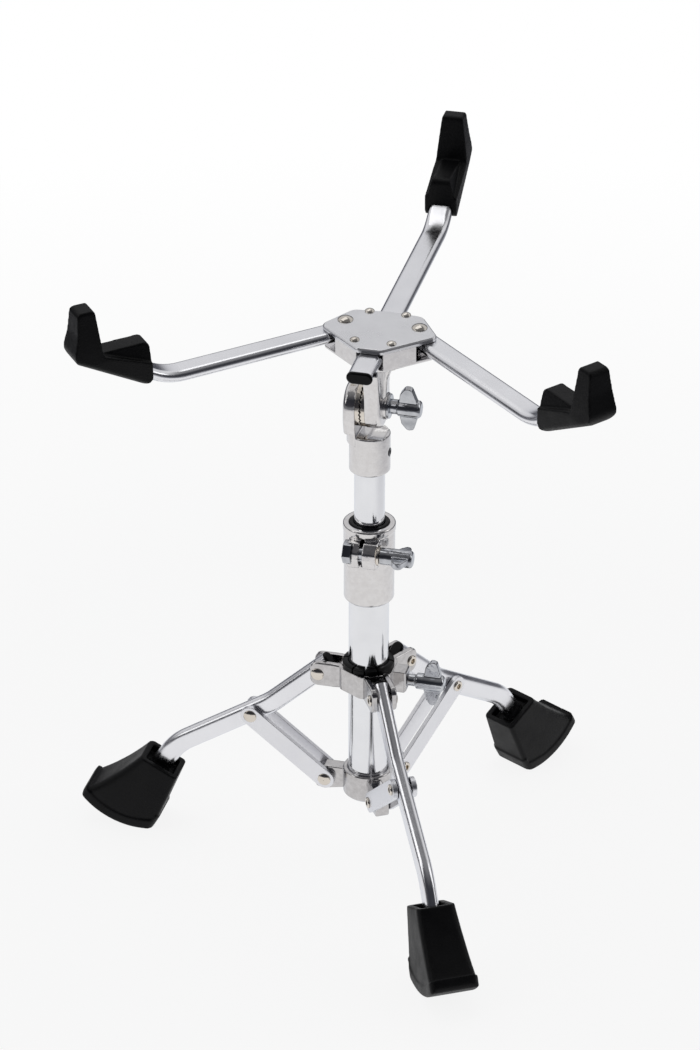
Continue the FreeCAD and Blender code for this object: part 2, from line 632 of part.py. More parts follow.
save("base_tube", spun([(BASE_R - BASE_TUBE_WALL, FOOT_COLLAR_LOW + 3.02),
                        (BASE_R, FOOT_COLLAR_LOW + 3.02), (BASE_R, BASE_TUBE_TOP),
                        (BASE_R - BASE_TUBE_WALL, BASE_TUBE_TOP)]))
save("foot_collar", make_foot_collar())
save("leg_collar", make_leg_collar())
save("collar_bush", make_collar_bush())

collar_bolt = wing_bolt(6.0, BOSS_END + 0.2 - COLLAR_BUSH_R - 0.3, 7.6, 5.0, 10.4, 18.6, 11.4, 31.6)
collar_bolt = moved(collar_bolt, BOSS_END + 0.2, 0, PIVOT_T[1])
save("collar_wing_bolt", turned(collar_bolt, COLLAR_BOLT_AZ))

leg, plug, foot = make_leg(), make_leg_plug(), make_foot()
bars = make_strut_pair()
pivot_rivets = []
for name, azimuth in LEG_AZIMUTHS:
    save("leg_" + name, turned(leg, azimuth))
    save("leg_plug_" + name, turned(plug, azimuth))
    save("foot_" + name, turned(foot, azimuth))
    save("strut_" + name + "_a", turned(bars[0], azimuth))
    save("strut_" + name + "_b", turned(bars[1], azimuth))
    save("strut_top_rivet_" + name, turned(rivet_at(PIVOT_SU, BAR_OUT + 0.02), azimuth))
    save("strut_low_rivet_" + name, turned(rivet_at(PIVOT_SL, BAR_OUT + 0.02), azimuth))
    pivot_rivets.append(turned(rivet_at(PIVOT_T, CHEEK_OUT + 0.02), azimuth))
save("leg_pivot_rivets", Part.makeCompound(pivot_rivets))


# Height clamp; its bolt runs along x of a frame turned with the tilter axis

AXIS_AZ = BASKET_AZ - 90.0


def make_clamp():
    r_tube = BASE_R + PRESS
    r_bush = CLAMP_BUSH_R + PRESS
    body = spun([(r_tube, CLAMP_LOW), (CLAMP_CUP_R, CLAMP_LOW), (CLAMP_CUP_R, CLAMP_BAND_LOW),
                 (CLAMP_BAND_R, CLAMP_BAND_LOW + 1.2), (CLAMP_BAND_R, CLAMP_SLIT_TOP - 0.6),
                 (CLAMP_RING_R, CLAMP_SLIT_TOP), (CLAMP_RING_R, CLAMP_TOP), (r_bush, CLAMP_TOP),
                 (r_bush, BASE_TUBE_TOP), (r_tube, BASE_TUBE_TOP - 0.02)],
                [0, 1.6, 0, 0, 0, 0, 0.8, 0.5, 0, 0])
    low, top = CLAMP_BAND_LOW + 3.6, CLAMP_SLIT_TOP - 0.6
    front = -CLAMP_BOLT_OUT - 6.0
    outline = [(-8.0, low - 1.2), (front + 3.2, low), (front + 0.4, low + 6.4), (front + 0.9, top - 6.0),
               (front + 5.4, top - 0.2), (-8.0, top)]
    ears = []
    for x0, x1 in ((-EAR_LEFT, -CLAMP_SLIT / 2.0), (CLAMP_SLIT / 2.0, EAR_RIGHT)):
        face = Part.Face(rounded_wire(outline, [0, 1.2, 1.6, 1.6, 2.0, 0], lambda y, z: V(x0, y, z)))
        ear = face.extrude(V(x1 - x0, 0, 0))
        outer = x0 if x0 < -2 else x1
        ears.append(bevelled(ear, 1.1, lambda e: abs(e.CenterOfMass.x - outer) < 1e-4
                             and e.BoundBox.YMax < -CLAMP_BUSH_R))
    clamp = body.fuse(ears)
    clamp = clamp.cut(Part.makeCylinder(r_bush, 60, V(0, 0, BASE_TUBE_TOP)))
    clamp = clamp.cut(Part.makeCylinder(r_tube, BASE_TUBE_TOP - CLAMP_LOW + 20, V(0, 0, CLAMP_LOW - 20)))
    half = CLAMP_SLIT / 2.0
    clamp = clamp.cut(box(-half, half, -40, 0, CLAMP_BAND_LOW + 2.0, CLAMP_SLIT_TOP - 0.3))
    clamp = clamp.cut(box(-30, 30, -40, 3.0, CLAMP_SLIT_TOP - 1.0, CLAMP_SLIT_TOP - 0.2))
    y, z = -CLAMP_BOLT_OUT, CLAMP_BOLT_Z
    clamp = clamp.cut(pin(BOLT_D + 2 * RUN, V(-40, y, z), V(40, y, z)))
    pocket = moved(hex_nut(13.0 + 2 * PRESS, 0.1, 6.0), -EAR_LEFT - 2.0, y, z)
    pocket = pocket.fuse(pin(BOLT_D, V(-EAR_LEFT - 2, y, z), V(-EAR_LEFT + 4, y, z)))
    return clamp.cut(pocket).removeSplitter()


def bolt_frame(shape):
    return turned(shape, AXIS_AZ)


save("height_clamp", bolt_frame(make_clamp()))
bush_in = UPPER_R + RUN
save("clamp_bush", spun([(bush_in, BASE_TUBE_TOP + 0.05), (CLAMP_BUSH_R, BASE_TUBE_TOP + 0.05),
                         (CLAMP_BUSH_R, CLAMP_TOP - 0.6), (CLAMP_BUSH_R - 0.4, CLAMP_TOP + 0.3),
                         (bush_in + 0.6, CLAMP_TOP + 0.3), (bush_in, CLAMP_TOP - 0.4)]))
WASHER_D = 13.0
WASHER_T = 1.4
y, z = -CLAMP_BOLT_OUT, CLAMP_BOLT_Z
save("clamp_washer", bolt_frame(moved(washer(WASHER_D, BOLT_D + 2 * RUN, WASHER_T), EAR_RIGHT + 0.02, y, z)))
save("clamp_nut", bolt_frame(moved(hex_nut(13.0, BOLT_D + 2 * RUN, 5.6), -EAR_LEFT - 1.8, y, z)))
clamp_bolt = wing_bolt(BOLT_D, EAR_LEFT + EAR_RIGHT + WASHER_T + 2.6, 10.6, 7.0, 11.0, 13.6, 10.4, 31.6)
clamp_bolt = turned(clamp_bolt, 82, V(1, 0, 0))
clamp_bolt = moved(clamp_bolt, EAR_RIGHT + WASHER_T + 0.05, y, z)
save("clamp_wing_bolt", bolt_frame(clamp_bolt))
save("upper_tube", spun([(UPPER_R - UPPER_TUBE_WALL, UPPER_TUBE_LOW),
                         (UPPER_R, UPPER_TUBE_LOW), (UPPER_R, UPPER_TUBE_TOP),
                         (UPPER_R - UPPER_TUBE_WALL, UPPER_TUBE_TOP)]))


# Tilter, in a frame with its axis along x and its centre at the origin

EAR_FACE = DISC_LEFT
DISC_FULL = DISC_BACK + TOOTH
DISC_RIGHT = DISC_LEFT + 2 * DISC_FULL + DISC_SPLIT
UPPER_EAR_END = DISC_RIGHT + UPPER_EAR


def tilter_frame(shape):
    return moved(bolt_frame(shape), 0, 0, TILT_Z)


def basket_frame(shape):
    return tilter_frame(turned(shape, TILT, V(1, 0, 0)))


def make_disc(flip):
    """Ring with radial teeth on the face at x = DISC_FULL, base at x = 0; the flanks all run to the axis."""
    disc = washer(2 * DISC_R, 2 * (BOLT_D / 2.0 + GAP), DISC_FULL)
    spread = 0.94 * math.pi / DISC_TEETH
    drop = TOOTH / DISC_R
    over = 1.5
    rings = []
    for r in (BOLT_D / 2.0, DISC_R + 1.0):
        rings.append([V(DISC_FULL - drop * r, 0, r),
                      V(DISC_FULL + drop * r * (over - 1.0), spread * r * over, r),
                      V(DISC_FULL + drop * r * (over - 1.0), -spread * r * over, r)])
    walls = [rings[0], rings[1]]
    for i in range(3):
        k = (i + 1) % 3
        walls.append([rings[0][i], rings[0][k], rings[1][k], rings[1][i]])
    faces = [Part.Face(Part.makePolygon(wall + wall[:1])) for wall in walls]
    groove = Part.makeSolid(Part.makeShell(faces))
    if groove.Volume < 0:
        groove.reverse()
    disc = disc.cut([turned(groove, 360.0 * i / DISC_TEETH, V(1, 0, 0)) for i in range(DISC_TEETH)])
    return turned(disc, 180) if flip else disc


def make_tilter_lower():
    """Cast socket on the upper tube with the left ear of the tilter."""
    low, top = SOCKET_LOW - TILT_Z, SOCKET_TOP - TILT_Z
    socket = spun([(0, low), (SOCKET_R, low), (SOCKET_R, top), (0, top)], [0, 1.0, 0.5, 0])
    ear_x = EAR_FACE - LOWER_EAR
    r = TILT_EAR_R
    disc = pin(2 * r, V(ear_x, 0, 0), V(EAR_FACE, 0, 0))
    post_outline = [(-r, 0.0), (-r, -8.0), (-SOCKET_R + 0.6, top + 1.0), (-SOCKET_R + 0.6, top - 6.0),
                    (SOCKET_R - 0.6, top - 6.0), (SOCKET_R - 0.6, top + 1.0), (r, -8.0), (r, 0.0)]
    face = Part.Face(rounded_wire(post_outline, [0, 10, 6, 0, 0, 6, 10, 0], lambda y, z: V(ear_x, y, z)))
    ear = disc.fuse(face.extrude(V(LOWER_EAR, 0, 0))).removeSplitter()
    ear = softened(ear, 3.4, lambda e: abs(e.CenterOfMass.x - ear_x) < 1e-4 and e.BoundBox.ZMax > top + 2)
    hull = Part.makeCylinder(SOCKET_R + 1.5, 60, V(0, 0, low))
    hull = hull.fuse(box(-40, 40, -40, 40, top + 2.0, 60))
    body = socket.fuse(ear.common(hull))
    # hollow under the swinging ear, behind a thin lip
    scoop = pin(2 * (r + 6.6), V(EAR_FACE + 7.0, 0, 0), V(SOCKET_R - 2.4, 0, 0))
    body = body.cut(scoop)
    shelf = pin(2 * (r + 2.2), V(EAR_FACE, 0, 0), V(EAR_FACE + 9.0, 0, 0))
    body = body.cut(shelf)
    bore = Part.makeCylinder(UPPER_R + PRESS, UPPER_TUBE_TOP - SOCKET_LOW + 0.3, V(0, 0, low))
    body = body.cut(bore)
    body = body.cut(pin(BOLT_D + 2 * RUN, V(-60, 0, 0), V(60, 0, 0)))
    screw_z = SET_SCREW_Z - TILT_Z
    return body.cut(pin(SET_SCREW_D + 2 * PRESS, V(0, 0, screw_z), V(40, 0, screw_z))).removeSplitter()


SET_SCREW_D = 5.0
SET_SCREW_Z = 291.5
save("tilter_lower", tilter_frame(make_tilter_lower()))
screw = pin(SET_SCREW_D, V(UPPER_R + 0.05, 0, 0), V(SOCKET_R + 0.25, 0, 0))
key = hex_nut(2.5, 0.1, 2.4)
key = moved(key.fuse(pin(1.0, V(0, 0, 0), V(2.4, 0, 0))), SOCKET_R - 1.6, 0, 0)
save("set_screw", tilter_frame(moved(screw.cut(key), 0, 0, SET_SCREW_Z - TILT_Z)))
save("tilter_disc_lower", tilter_frame(moved(make_disc(False), DISC_LEFT + 0.02, 0, 0)))
save("tilter_disc_upper", basket_frame(moved(make_disc(True), DISC_RIGHT - 0.02, 0, 0)))
TILT_WASHER_D = 15.5
tilt_washer = moved(washer(TILT_WASHER_D, BOLT_D + 2 * RUN, WASHER_T), UPPER_EAR_END + 2.4, 0, 0)
save("tilter_washer", tilter_frame(tilt_washer))
tilt_bolt_at = UPPER_EAR_END + 2.4 + WASHER_T + 0.05
tilt_bolt = wing_bolt(BOLT_D, tilt_bolt_at - (EAR_FACE - LOWER_EAR) - 1.0, 9.2, 4.4, 11.0, 14.6, 11.8, 31.6)
save("tilter_wing_bolt", tilter_frame(moved(turned(tilt_bolt, 12, V(1, 0, 0)), tilt_bolt_at, 0, 0)))


# Basket

def basket_outline(inset):
    """Six-sided outline of plate and pan about the basket centre, bowed at the back."""
    corners = [(7.8, -28.3), (36.6, -3.6), (21.9, 19.0), (0.0, 20.9), (-21.9, 19.0), (-36.6, -3.6),
               (-7.8, -28.3)]
    centre = (0.0, -3.0)
    return [along(p, unit2(sub2(centre, p)), inset) for p in corners]


def basket_at(shape):
    return moved(shape, BASKET_X, BASKET_Y, 0)


PLATE_LOW = PLATE_TOP - PLATE_THICK
ARM_Z = PLATE_LOW - GAP - ARM_TALL / 2.0
OUTLINE_R = [4.0, 5.0, 7.0, 60.0, 7.0, 5.0, 4.0]
BIG_HEAD_D = 9.6
BIG_SHANK_D = 6.0
SMALL_HEAD_D = 6.0
SMALL_SHANK_D = 3.6


def plate_holes(shape, small, big):
    for sx in (-1, 1):
        x, y = sx * ARM_PIVOT[0], ARM_PIVOT[1]
        shape = shape.cut(pin(big, V(x, y, -20), V(x, y, 80)))
        for sy in (-1, 1):
            x2, y2 = sx * PLATE_RIVETS[0], sy * PLATE_RIVETS[1]
            shape = shape.cut(pin(small, V(x2, y2, -20), V(x2, y2, 80)))
    return shape


def make_plate():
    plate = flat_slab(basket_outline(0.0), OUTLINE_R, PLATE_LOW, PLATE_TOP)
    plate = bevelled(plate, 1.0, lambda e: abs(e.BoundBox.ZMin - PLATE_TOP) < 1e-4)
    return plate_holes(plate, SMALL_SHANK_D + 2 * PRESS, BIG_SHANK_D + 2 * PRESS)


def make_pan():
    """Cast pan under the plate with the right ear of the tilter below it."""
    top = PLATE_LOW - 0.02
    outline = basket_outline(PAN_INSET)
    pan = flat_slab(outline, OUTLINE_R, PAN_LOW, top)
    pan = bevelled(pan, 1.0, lambda e: abs(e.BoundBox.ZMax - PAN_LOW) < 1e-4)
    hollow = flat_slab(basket_outline(PAN_INSET + PAN_WALL), OUTLINE_R, PAN_LOW + PAN_FLOOR, top + 5)
    pan = pan.cut(hollow)
    # the walls stop where the arms pass: one wide opening each side and behind, one in front
    play = ARM_WIDE / 2.0 + GAP
    for sx in (-1, 1):
        start = V(sx * ARM_PIVOT[0], ARM_PIVOT[1], 0)
        sweep = box(-12.0, 60, -play - 3.4, 60, PAN_LOW + PAN_FLOOR, top + 5)
        sweep = turned(sweep, -ARM_ANGLE)
        sweep = sweep if sx > 0 else sweep.mirror(ORIGIN, V(1, 0, 0))
        pan = pan.cut(moved(sweep, start.x, start.y, 0))
    pan = pan.cut(box(-play, play, -60, 60, PAN_LOW + PAN_FLOOR, top + 5))
    pan = pan.cut(box(-60, 60, 12.0, 60, PAN_LOW + PAN_FLOOR, top + 5))
    posts = []
    for sx in (-1, 1):
        for sy in (-1, 1):
            spot = V(sx * PLATE_RIVETS[0], sy * PLATE_RIVETS[1] - (0.6 if sy > 0 else 0.0), PAN_LOW + 0.5)
            posts.append(Part.makeCylinder(POST_R, top - PAN_LOW - 0.5, spot))
        seat = V(sx * ARM_PIVOT[0], ARM_PIVOT[1], PAN_LOW + 0.5)
        posts.append(Part.makeCylinder(7.0, ARM_Z - ARM_TALL / 2.0 - GAP - PAN_LOW - 0.5, seat))
        rail = box(sx * 4.0 - 1.2, sx * 4.0 + 1.2, -24, 18, PAN_LOW + 0.5, ARM_Z - ARM_TALL / 2.0 - GAP)
        posts.append(rail)
    pan = pan.fuse(posts)
    slit = play - GAP + RUN + 0.24
    pan = pan.cut(box(-slit, slit, -60, 60, ARM_Z - ARM_TALL / 2.0 - GAP, top + 5))
    pan = basket_at(plate_holes(pan, SMALL_SHANK_D + 2 * PRESS, BIG_SHANK_D + 2 * PRESS))
    # ear: a round-ended arm that widens into the floor of the pan, with a rib outside
    r = TILT_EAR_R
    x0, x1 = DISC_RIGHT, UPPER_EAR_END
    floor_z = PAN_LOW + 1.0
    outline = [(-r, 0.0), (-r, 12.0), (-19.0, floor_z), (19.0, floor_z), (r, 12.0), (r, 0.0)]
    face = Part.Face(rounded_wire(outline, [0, 26, 0, 0, 26, 0], lambda y, z: V(x0, y, z)))
    ear = face.extrude(V(x1 - x0, 0, 0)).fuse(pin(2 * r, V(x0, 0, 0), V(x1, 0, 0))).removeSplitter()
    ear = softened(ear, 3.2, lambda e: abs(e.CenterOfMass.x - x1) < 1e-4 and e.BoundBox.ZMax < floor_z + 1e-3
                   and e.BoundBox.ZMin < floor_z - 1.0)
    boss = pin(2 * 8.4, V(x1 - 4, 0, 0), V(x1 + 2.4, 0, 0))
    rib = side_slab([(x1 - 3.0, 2.0), (x1 + 1.6, 6.0), (x1 + 2.6, 20.0), (x1 + 8.5, floor_z),
                     (x1 - 3.0, floor_z)],
                    [0, 2.0, 9.0, 0, 0], -4.6, 4.6)
    rib = bevelled(rib, 1.3, lambda e: e.BoundBox.YLength < 1e-4 and e.CenterOfMass.x > x1 + 0.4)
    pan = pan.fuse([ear, boss, rib])
    pan = pan.cut(pin(BOLT_D + 2 * RUN + 0.2, V(-60, 0, 0), V(60, 0, 0)))
    return pan.removeSplitter()


def upright_rivet(x, y, top, bottom, head_d, shank_d, dome):
    rh, rs = head_d / 2.0, shank_d / 2.0
    edges = []
    outline = [(0, bottom - 1.0), (rs + 0.9, bottom - 1.0), (rs + 0.9, bottom - 0.02), (rs, bottom - 0.02),
               (rs, top + 0.02), (rh, top + 0.02), (rh, top + RIVET_RIM)]
    for a, b in zip(outline, outline[1:]):
        edges.append(Part.makeLine(V(a[0], 0, a[1]), V(b[0], 0, b[1])))
    edges.append(dome_arc(rh, top + RIVET_RIM, top + dome))
    edges.append(Part.makeLine(V(0, 0, top + dome), V(0, 0, bottom - 1.0)))
    return moved(Part.Face(Part.Wire(edges)).revolve(ORIGIN, UP, 360), x, y, 0)


save("basket_plate", basket_frame(basket_at(make_plate())))
save("basket_pan", basket_frame(make_pan()))
small, big = [], []
for sx in (-1, 1):
    big.append(upright_rivet(sx * ARM_PIVOT[0], ARM_PIVOT[1], PLATE_TOP, PAN_LOW,
                             BIG_HEAD_D, BIG_SHANK_D, 2.2))
    for sy in (-1, 1):
        x2, y2 = sx * PLATE_RIVETS[0], sy * PLATE_RIVETS[1]
        small.append(upright_rivet(x2, y2, PLATE_TOP, PAN_LOW, SMALL_HEAD_D, SMALL_SHANK_D, 1.7))
save("plate_rivets", basket_frame(basket_at(Part.makeCompound(small))))
save("arm_pivot_rivets", basket_frame(basket_at(Part.makeCompound(big))))


# Arms and grips; each arm lies along x, its pivot or the basket centre at the origin

def arm_line(start, bend_at):
    stop = along((bend_at, 0.0), compass(ARM_BEND), ARM_IN_GRIP)
    return [(start, 0.0), (bend_at, 0.0), stop]


def make_side_arm():
    line = arm_line(-ARM_WIDE / 2.0, ARM_BEND_AT)
    arm = oval_tube(line, [0, ARM_BEND_R, 0], ARM_TALL, ARM_WIDE, ARM_WALL)
    r = ARM_WIDE / 2.0
    outside = box(-20, 0, -20, 20, -20, 20).cut(Part.makeCylinder(r, 60, V(0, 0, -30)))
    arm = arm.cut(outside)
    return arm.cut(Part.makeCylinder(BIG_SHANK_D / 2.0 + RUN, 60, V(0, 0, -30)))


STOP_PIN_AT = SLIDE_TAIL + 5.3
STOP_PIN_D = 3.2


def make_sliding_arm():
    line = arm_line(SLIDE_TAIL, SLIDE_BEND_AT)
    arm = oval_tube(line, [0, ARM_BEND_R, 0], ARM_TALL, ARM_WIDE, ARM_WALL)
    return arm.cut(pin(STOP_PIN_D + 2 * PRESS, V(STOP_PIN_AT, -20, 0), V(STOP_PIN_AT, 0, 0)))


def make_tail_plug():
    stem = oval_bar([(SLIDE_TAIL - 1.0, 0), (SLIDE_TAIL + 3.0, 0)], [0, 0],
                    ARM_TALL - 2 * ARM_WALL - 2 * RUBBER, ARM_WIDE - 2 * ARM_WALL - 2 * RUBBER)
    lip = oval_bar([(SLIDE_TAIL - 2.2, 0), (SLIDE_TAIL - 0.02, 0)], [0, 0], ARM_TALL + 0.6, ARM_WIDE + 0.4)
    lip = bevelled(lip, 0.8, lambda e: e.BoundBox.XMax < SLIDE_TAIL - 2.1)
    return stem.fuse(lip).removeSplitter()


GRIP_SEAT = 29.0        # height of the hoop seat above the arm
GRIP_TOP = 57.9         # height of the finger
GRIP_IN = 12.0          # inner end of the grip, from the corner of the bend
GRIP_ROOT = 42.2        # inner face of the finger at the seat
GRIP_OUT = 60.2         # furthest point of the finger's back
GRIP_TIP = 10.8         # thickness of the finger at its top
GRIP_BLOCK_W = 11.8
GRIP_BASE_W = 20.8
GRIP_TIP_W = 13.2
GRIP_BASE_T = 13.8
GRIP_LEDGE = 21.0       # slope of the ledge beside the seat block, degrees
GRIP_DRAFT = 13.0       # lean of the seat block's sides


def make_grip():
    """L-shaped rubber grip: side view, front view and sleeve section crossed, cut free beside the seat."""
    d = compass(ARM_BEND)
    n = (-d[1], d[0])
    half_t, half_w, half_tip = GRIP_BASE_T / 2.0, GRIP_BASE_W / 2.0, GRIP_TIP_W / 2.0
    under = along((0.0, 0.0), n, -half_t)
    rise = d[1] / d[0]

    def floor_at(x):
        return under[1] + (x - under[0]) * rise

    tip_in = GRIP_ROOT + 2.6
    heel = GRIP_OUT - 2.6
    outline = [(GRIP_IN, floor_at(GRIP_IN)), (heel, floor_at(heel)), (GRIP_OUT, GRIP_SEAT + 1.4),
               (GRIP_OUT - 3.2, GRIP_SEAT + 14.0), (tip_in + GRIP_TIP, GRIP_TOP), (tip_in, GRIP_TOP),
               (GRIP_ROOT, GRIP_SEAT), (GRIP_IN, GRIP_SEAT)]
    side = side_slab(outline, [5.0, 6.0, 9.0, 30.0, 3.0, 2.4, 1.5, 3.6], -2 * half_w, 2 * half_w)
    low = floor_at(GRIP_IN) - 5.0
    neck, top = GRIP_SEAT - 4.0, GRIP_TOP + 0.6
    front = [(-half_w, low), (-half_w, neck), (0.8 - half_w, neck + 9.0), (-half_tip, top),
             (half_tip, top), (half_w - 0.8, neck + 9.0), (half_w, neck), (half_w, low)]
    face = Part.Face(rounded_wire(front, [0, 12, 20, 2.6, 2.6, 20, 12, 0], lambda y, z: V(0, y, z)))
    grip = side.common(face.extrude(V(2 * GRIP_OUT, 0, 0)))
    # the underside is round along the sleeve
    start = along(under, d, -20.0)
    section = [(-half_w - 1.0, 0.0), (half_w + 1.0, 0.0), (half_w + 1.0, 90.0), (-half_w - 1.0, 90.0)]
    face = Part.Face(rounded_wire(section, [6.6, 6.6, 0, 0],
                                  lambda y, t: V(start[0] + n[0] * t, y, start[1] + n[1] * t)))
    grip = grip.common(face.extrude(V(d[0] * 140.0, 0, d[1] * 140.0)))
    # beside the seat block the rubber falls away to a sloping ledge
    x0, x1, z1 = GRIP_IN - 10.0, GRIP_ROOT - 0.6, GRIP_SEAT - 0.8
    z0 = z1 - (x1 - x0) * math.tan(math.radians(GRIP_LEDGE))
    pocket = [(x0, z0), (x1, z1), (x1, GRIP_SEAT + 3.0), (x0, GRIP_SEAT + 3.0)]
    pocket = side_slab(pocket, [0, 0, 0, 0], 0.0, GRIP_BASE_W)
    half_block, wide = GRIP_BLOCK_W / 2.0, 3 * GRIP_BASE_W
    lean = math.tan(math.radians(GRIP_DRAFT)) * 2 * GRIP_SEAT
    flank = [(half_block, GRIP_SEAT), (half_block + lean, -GRIP_SEAT), (wide, -GRIP_SEAT),
             (wide, 2 * GRIP_SEAT), (half_block, 2 * GRIP_SEAT)]
    face = Part.Face(rounded_wire(flank, [0] * 5, lambda y, z: V(-GRIP_OUT, y, z)))
    pocket = pocket.common(face.extrude(V(3 * GRIP_OUT, 0, 0)))
    grip = grip.cut([pocket, pocket.mirror(V(0, 0, 0), V(0, 1, 0))])
    bore = oval_bar([(-20, 0), (0, 0), along((0, 0), d, ARM_IN_GRIP + 0.3)], [0, ARM_BEND_R, 0],
                    ARM_TALL + 2 * RUBBER, ARM_WIDE + 2 * RUBBER)
    return grip.cut(bore).removeSplitter()


def side_place(shape, sx):
    arm = turned(shape, -ARM_ANGLE) if sx > 0 else turned(shape, 180.0 + ARM_ANGLE)
    return basket_frame(basket_at(moved(arm, sx * ARM_PIVOT[0], ARM_PIVOT[1], ARM_Z)))


def rear_place(shape):
    return basket_frame(basket_at(moved(turned(shape, 90.0), 0, 0, ARM_Z)))


side_arm, grip = make_side_arm(), make_grip()
save("arm_right", side_place(side_arm, 1))
save("arm_left", side_place(side_arm, -1))
save("arm_sliding", rear_place(make_sliding_arm()))
save("tail_plug", rear_place(make_tail_plug()))
stop_pin = pin(STOP_PIN_D, V(STOP_PIN_AT, -ARM_WIDE / 2.0 - 1.4, 0), V(STOP_PIN_AT, -2.0, 0))
save("stop_pin", rear_place(stop_pin))
save("grip_right", side_place(moved(grip, ARM_BEND_AT, 0, 0), 1))
save("grip_left", side_place(moved(grip, ARM_BEND_AT, 0, 0), -1))
save("grip_rear", rear_place(moved(grip, SLIDE_BEND_AT, 0, 0)))
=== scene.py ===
import bpy
import math
from mathutils import Matrix, Vector

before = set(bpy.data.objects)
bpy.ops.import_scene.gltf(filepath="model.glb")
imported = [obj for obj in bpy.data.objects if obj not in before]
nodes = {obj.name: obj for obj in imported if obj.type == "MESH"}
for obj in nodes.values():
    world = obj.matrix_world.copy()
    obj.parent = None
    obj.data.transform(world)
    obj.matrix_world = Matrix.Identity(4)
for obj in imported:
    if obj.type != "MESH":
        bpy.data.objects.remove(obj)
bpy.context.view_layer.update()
scene = bpy.context.scene
scene.view_settings.view_transform = "Standard"


# Shader node helpers

def new_material(name):
    mat = bpy.data.materials.new(name)
    mat.use_nodes = True
    tree = mat.node_tree
    shader = tree.nodes["Principled BSDF"]
    place = tree.nodes.new("ShaderNodeTexCoord").outputs["Object"]
    return mat, tree, shader, place


def node(tree, kind, links=None, **values):
    """A new node: values are its settings and plain sockets, links its linked sockets."""
    made = tree.nodes.new(kind)
    for key, value in values.items():
        if hasattr(made, key):
            setattr(made, key, value)
        else:
            made.inputs[key.replace("_", " ")].default_value = value
    for key, socket in (links or {}).items():
        tree.links.new(socket, made.inputs[key])
    return made


def feed(tree, socket, value):
    """Links another socket, or sets a plain number or colour."""
    if isinstance(value, bpy.types.NodeSocket):
        tree.links.new(value, socket)
    else:
        socket.default_value = value


def noise(tree, place, scale, detail, roughness):
    made = node(tree, "ShaderNodeTexNoise", {"Vector": place},
                Scale=scale, Detail=detail, Roughness=roughness)
    return made.outputs["Fac"]


def ramp(tree, value, stops):
    made = node(tree, "ShaderNodeValToRGB", {"Fac": value})
    while len(made.color_ramp.elements) < len(stops):
        made.color_ramp.elements.new(0.5)
    for element, (spot, colour) in zip(made.color_ramp.elements, stops):
        element.position = spot
        element.color = (*colour, 1.0)
    return made.outputs["Color"]


def spread(tree, value, low, high, from_low=0.3, from_high=0.7):
    """Takes from_low..from_high to low..high, and stops at both ends."""
    made = node(tree, "ShaderNodeMapRange", {"Value": value},
                From_Min=from_low, From_Max=from_high, To_Min=low, To_Max=high)
    return made.outputs["Result"]


def calc(tree, operation, a, b):
    made = node(tree, "ShaderNodeMath", operation=operation)
    feed(tree, made.inputs[0], a)
    feed(tree, made.inputs[1], b)
    return made.outputs["Value"]


def length(tree, vector):
    return node(tree, "ShaderNodeVectorMath", {0: vector}, operation="LENGTH").outputs["Value"]


def mix_colour(tree, factor, first, second):
    made = node(tree, "ShaderNodeMix", data_type="RGBA")
    feed(tree, made.inputs["Factor"], factor)
    feed(tree, made.inputs["A"], first)
    feed(tree, made.inputs["B"], second)
    return made.outputs["Result"]


def mix_shader(tree, factor, first, second):
    made = node(tree, "ShaderNodeMixShader", {"Fac": factor, 1: first, 2: second})
    return made.outputs["Shader"]


def bump(tree, shader, height, strength, distance, under=None):
    links = {"Height": height}
    if under is not None:
        links["Normal"] = under
    made = node(tree, "ShaderNodeBump", links, Strength=strength, Distance=distance)
    tree.links.new(made.outputs["Normal"], shader.inputs["Normal"])
    return made.outputs["Normal"]


def ray_masks(tree):
    """Masks of the rays that see a backdrop straight or through glass, and in a reflection."""
    path = tree.nodes.new("ShaderNodeLightPath")
    straight = calc(tree, "MAXIMUM", path.outputs["Is Camera Ray"], path.outputs["Is Transmission Ray"])
    return straight, path.outputs["Is Glossy Ray"]


# Materials

WHITE = (1.0, 1.0, 1.0, 1.0)
PLATING_TINT = (0.9, 0.92, 0.95, 1.0)
WAVE_DEPTH = 0.002               # bump depths in m
GRAIN_DEPTH = 0.0004
SKIN_DEPTH = 0.0003
GRAIN_GLOSS = (-0.025, 0.035)    # what the grain adds to the roughness of metal
DUST_SCALE = 70.0
WORN_LIFT = 1.9                  # how much paler than the rest a rubbed edge is
WORN_SHARE = 0.35
WORN_POINTINESS = (0.52, 0.62)


def metal(name, light, dark, rough, wave, grain, lines=(1.0, 1.0, 1.0), tint_scale=45.0):
    """Plated metal: tone and gloss wander slowly, and fine lines or grain lie on top.

    rough is a range, wave and grain are each a strength and a scale, and lines draws out the grain.
    """
    mat, tree, shader, place = new_material(name)
    shader.inputs["Metallic"].default_value = 1.0
    shader.inputs["Specular Tint"].default_value = PLATING_TINT
    slow = noise(tree, place, tint_scale, 4.0, 0.55)
    drawn = node(tree, "ShaderNodeMapping", {"Vector": place}, Scale=lines).outputs["Vector"]
    fine = noise(tree, drawn, grain[1], 5.0, 0.65)
    tone = ramp(tree, slow, [(0.3, dark), (0.7, light)])
    tree.links.new(tone, shader.inputs["Base Color"])
    gloss = calc(tree, "ADD", spread(tree, slow, *rough), spread(tree, fine, *GRAIN_GLOSS))
    tree.links.new(gloss, shader.inputs["Roughness"])
    rolling = noise(tree, place, wave[1], 2.0, 0.5)
    first = bump(tree, shader, rolling, wave[0], WAVE_DEPTH)
    bump(tree, shader, fine, grain[0], GRAIN_DEPTH, first)
    return mat


